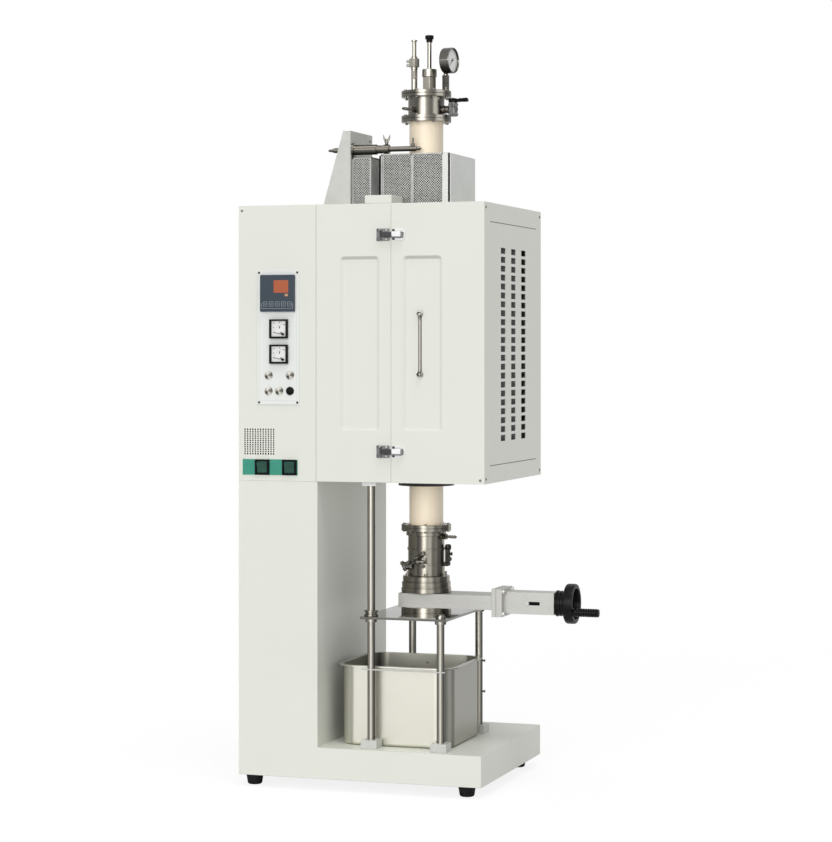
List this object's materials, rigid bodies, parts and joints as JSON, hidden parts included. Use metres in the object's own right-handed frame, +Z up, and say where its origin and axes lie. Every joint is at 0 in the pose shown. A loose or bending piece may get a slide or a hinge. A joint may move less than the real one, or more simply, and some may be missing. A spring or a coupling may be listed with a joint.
{
  "type": "vertical split tube furnace",
  "caption": "Vertical split tube furnace with a hinged half, a ceramic work tube with sealed end heads, a screw-driven gate valve and a quench tank on an L-shaped cabinet stand.",
  "frame": {"origin": "middle of the footprint's bounding rectangle, on the floor", "axes": "+X to the right towards the hinged half and the handwheel, +Y to the back, +Z up"},
  "size_m": [0.9294, 0.59, 1.979],
  "materials": {
    "cream_paint": "satin",
    "white_panel": "satin",
    "black_rubber": "matte",
    "steel": "brushed",
    "plated": "polished",
    "alumina": "smooth unglazed ceramic",
    "fibre": "fibrous",
    "black_plastic": "satin",
    "slate_plastic": "satin",
    "green_plastic": "gloss"
  },
  "bodies": {
    "frame": {"stand_frame": "cream_paint", "pillar_rear_cover": "cream_paint", "foot_front_left": "black_rubber", "foot_front_right": "black_rubber", "foot_rear_left": "black_rubber", "foot_rear_right": "black_rubber", "control_cabinet": "cream_paint", "instrument_panel": "white_panel", "temperature_controller": "slate_plastic", "meter_upper": "black_plastic", "meter_lower": "black_plastic", "switch_strip": "green_plastic", "left_casing": "cream_paint", "left_lining": "fibre", "hinge_upper": "steel", "hinge_lower": "steel", "latch_base_upper": "plated", "latch_base_lower": "plated", "cage_left": "steel", "terminal_guard": "steel", "arm_bracket": "steel", "work_tube": "alumina", "top_head": "steel", "top_lid": "steel", "pressure_gauge": "steel", "ball_valve_body": "steel", "bottom_head": "steel", "gate_valve_body": "steel", "valve_drive_housing": "steel", "support_plate": "steel", "support_rod_front_left": "steel", "support_rod_front_right": "steel", "support_rod_rear_left": "steel", "support_rod_rear_right": "steel"},
    "right_half": {"right_casing": "cream_paint", "right_lining": "fibre", "door_handle": "steel", "cage_right": "steel"},
    "latch_lever_upper": {"latch_lever_upper": "plated"},
    "latch_lever_lower": {"latch_lever_lower": "plated"},
    "button_upper_left": {"button_upper_left": "steel"},
    "button_upper_right": {"button_upper_right": "steel"},
    "button_lower_left": {"button_lower_left": "steel"},
    "button_lower_middle": {"button_lower_middle": "steel"},
    "button_lower_right": {"button_lower_right": "black_plastic"},
    "rocker_left": {"rocker_left": "black_plastic"},
    "rocker_right": {"rocker_right": "black_plastic"},
    "needle_upper": {"needle_upper": "black_plastic"},
    "needle_lower": {"needle_lower": "black_plastic"},
    "arm_rod": {"arm_rod": "steel"},
    "wing_screw": {"wing_screw": "steel"},
    "sample_rod": {"sample_rod": "steel"},
    "gauge_needle": {"gauge_needle": "black_plastic"},
    "ball_valve_lever": {"ball_valve_lever": "black_plastic"},
    "toggle_front": {"toggle_front": "steel"},
    "toggle_right": {"toggle_right": "steel"},
    "gate": {"gate_plate": "steel"},
    "handwheel": {"handwheel": "black_plastic"},
    "crank_handle": {"crank_handle": "black_plastic"},
    "quench_tank": {"quench_tank": "steel"}
  },
  "joints": [
    {"name": "right_half_swing", "type": "hinge", "parent": "frame", "child": "right_half", "pos_m": [-0.01525, 0.2775, 1.162], "axis": [0, 0, 1], "range_deg": [0, 110]},
    {"name": "latch_upper_swing", "type": "hinge", "parent": "frame", "child": "latch_lever_upper", "pos_m": [-0.07075, -0.2735, 1.4405], "axis": [0, 0, -1], "range_deg": [0, 120]},
    {"name": "latch_lower_swing", "type": "hinge", "parent": "frame", "child": "latch_lever_lower", "pos_m": [-0.07075, -0.2735, 0.882], "axis": [0, 0, -1], "range_deg": [0, 120]},
    {"name": "button_upper_left_press", "type": "slide", "parent": "frame", "child": "button_upper_left", "axis": [0, 1, 0], "range_m": [0, 0.002], "stiffness_N_per_m": 400, "springref_m": -0.001},
    {"name": "button_upper_right_press", "type": "slide", "parent": "frame", "child": "button_upper_right", "axis": [0, 1, 0], "range_m": [0, 0.002], "stiffness_N_per_m": 400, "springref_m": -0.001},
    {"name": "button_lower_left_press", "type": "slide", "parent": "frame", "child": "button_lower_left", "axis": [0, 1, 0], "range_m": [0, 0.002], "stiffness_N_per_m": 400, "springref_m": -0.001},
    {"name": "button_lower_middle_press", "type": "slide", "parent": "frame", "child": "button_lower_middle", "axis": [0, 1, 0], "range_m": [0, 0.002], "stiffness_N_per_m": 400, "springref_m": -0.001},
    {"name": "button_lower_right_press", "type": "slide", "parent": "frame", "child": "button_lower_right", "axis": [0, 1, 0], "range_m": [0, 0.002], "stiffness_N_per_m": 400, "springref_m": -0.001},
    {"name": "rocker_left_tilt", "type": "hinge", "parent": "frame", "child": "rocker_left", "pos_m": [-0.39725, -0.265, 0.8375], "axis": [-1, 0, 0], "range_deg": [0, 18]},
    {"name": "rocker_right_tilt", "type": "hinge", "parent": "frame", "child": "rocker_right", "pos_m": [-0.32075, -0.265, 0.8375], "axis": [-1, 0, 0], "range_deg": [0, 18]},
    {"name": "needle_upper_turn", "type": "hinge", "parent": "frame", "child": "needle_upper", "pos_m": [-0.33725, -0.272, 1.185], "axis": [0, 1, 0], "range_deg": [0, 85], "stiffness_Nm_per_rad": 0.0002, "springref_deg": -11.46},
    {"name": "needle_lower_turn", "type": "hinge", "parent": "frame", "child": "needle_lower", "pos_m": [-0.33725, -0.272, 1.119], "axis": [0, 1, 0], "range_deg": [0, 85], "stiffness_Nm_per_rad": 0.0002, "springref_deg": -11.46},
    {"name": "arm_rod_slide", "type": "slide", "parent": "frame", "child": "arm_rod", "axis": [1, 0, 0], "range_m": [-0.055, 0.06]},
    {"name": "wing_screw_turn", "type": "hinge", "parent": "frame", "child": "wing_screw", "pos_m": [-0.10425, -0.118, 1.69], "axis": [0, 0, 1], "range_deg": [0, 360]},
    {"name": "sample_rod_slide", "type": "slide", "parent": "frame", "child": "sample_rod", "axis": [0, 0, 1], "range_m": [-0.06, 0.15]},
    {"name": "gauge_needle_turn", "type": "hinge", "parent": "frame", "child": "gauge_needle", "pos_m": [0.03745, -0.05, 1.9085], "axis": [-0.9877, 0.1564, 0], "range_deg": [0, 260], "stiffness_Nm_per_rad": 0.0002, "springref_deg": -17.19},
    {"name": "ball_valve_turn", "type": "hinge", "parent": "frame", "child": "ball_valve_lever", "pos_m": [0.06186, -0.0676, 1.801], "axis": [0, 0, -1], "range_deg": [0, 90]},
    {"name": "toggle_front_swing", "type": "hinge", "parent": "frame", "child": "toggle_front", "pos_m": [-0.06227, -0.10205, 0.574], "axis": [0.4704, -0.1173, -0.8746], "range_deg": [0, 95]},
    {"name": "toggle_right_swing", "type": "hinge", "parent": "frame", "child": "toggle_right", "pos_m": [0.04253, -0.04894, 0.578], "axis": [-0.0872, 0.9962, 0], "range_deg": [0, 100]},
    {"name": "handwheel_turn", "type": "hinge", "parent": "frame", "child": "handwheel", "pos_m": [0.39525, -0.054, 0.4845], "axis": [1, 0, 0], "range_deg": [0, 6120]},
    {"name": "gate_slide", "type": "slide", "parent": "frame", "child": "gate", "axis": [1, 0, 0], "range_m": [0, 0.085]},
    {"name": "crank_spin", "type": "hinge", "parent": "handwheel", "child": "crank_handle", "pos_m": [0.42525, -0.0895, 0.466], "axis": [1, 0, 0], "continuous": true},
    {"name": "quench_tank_slide", "type": "slide", "parent": "frame", "child": "quench_tank", "axis": [1, 0, 0], "range_m": [0, 0.24]}
  ],
  "couplings": [
    {"joint": "gate_slide", "follows": "handwheel_turn", "m_per_rad": 0.00079577}
  ]
}
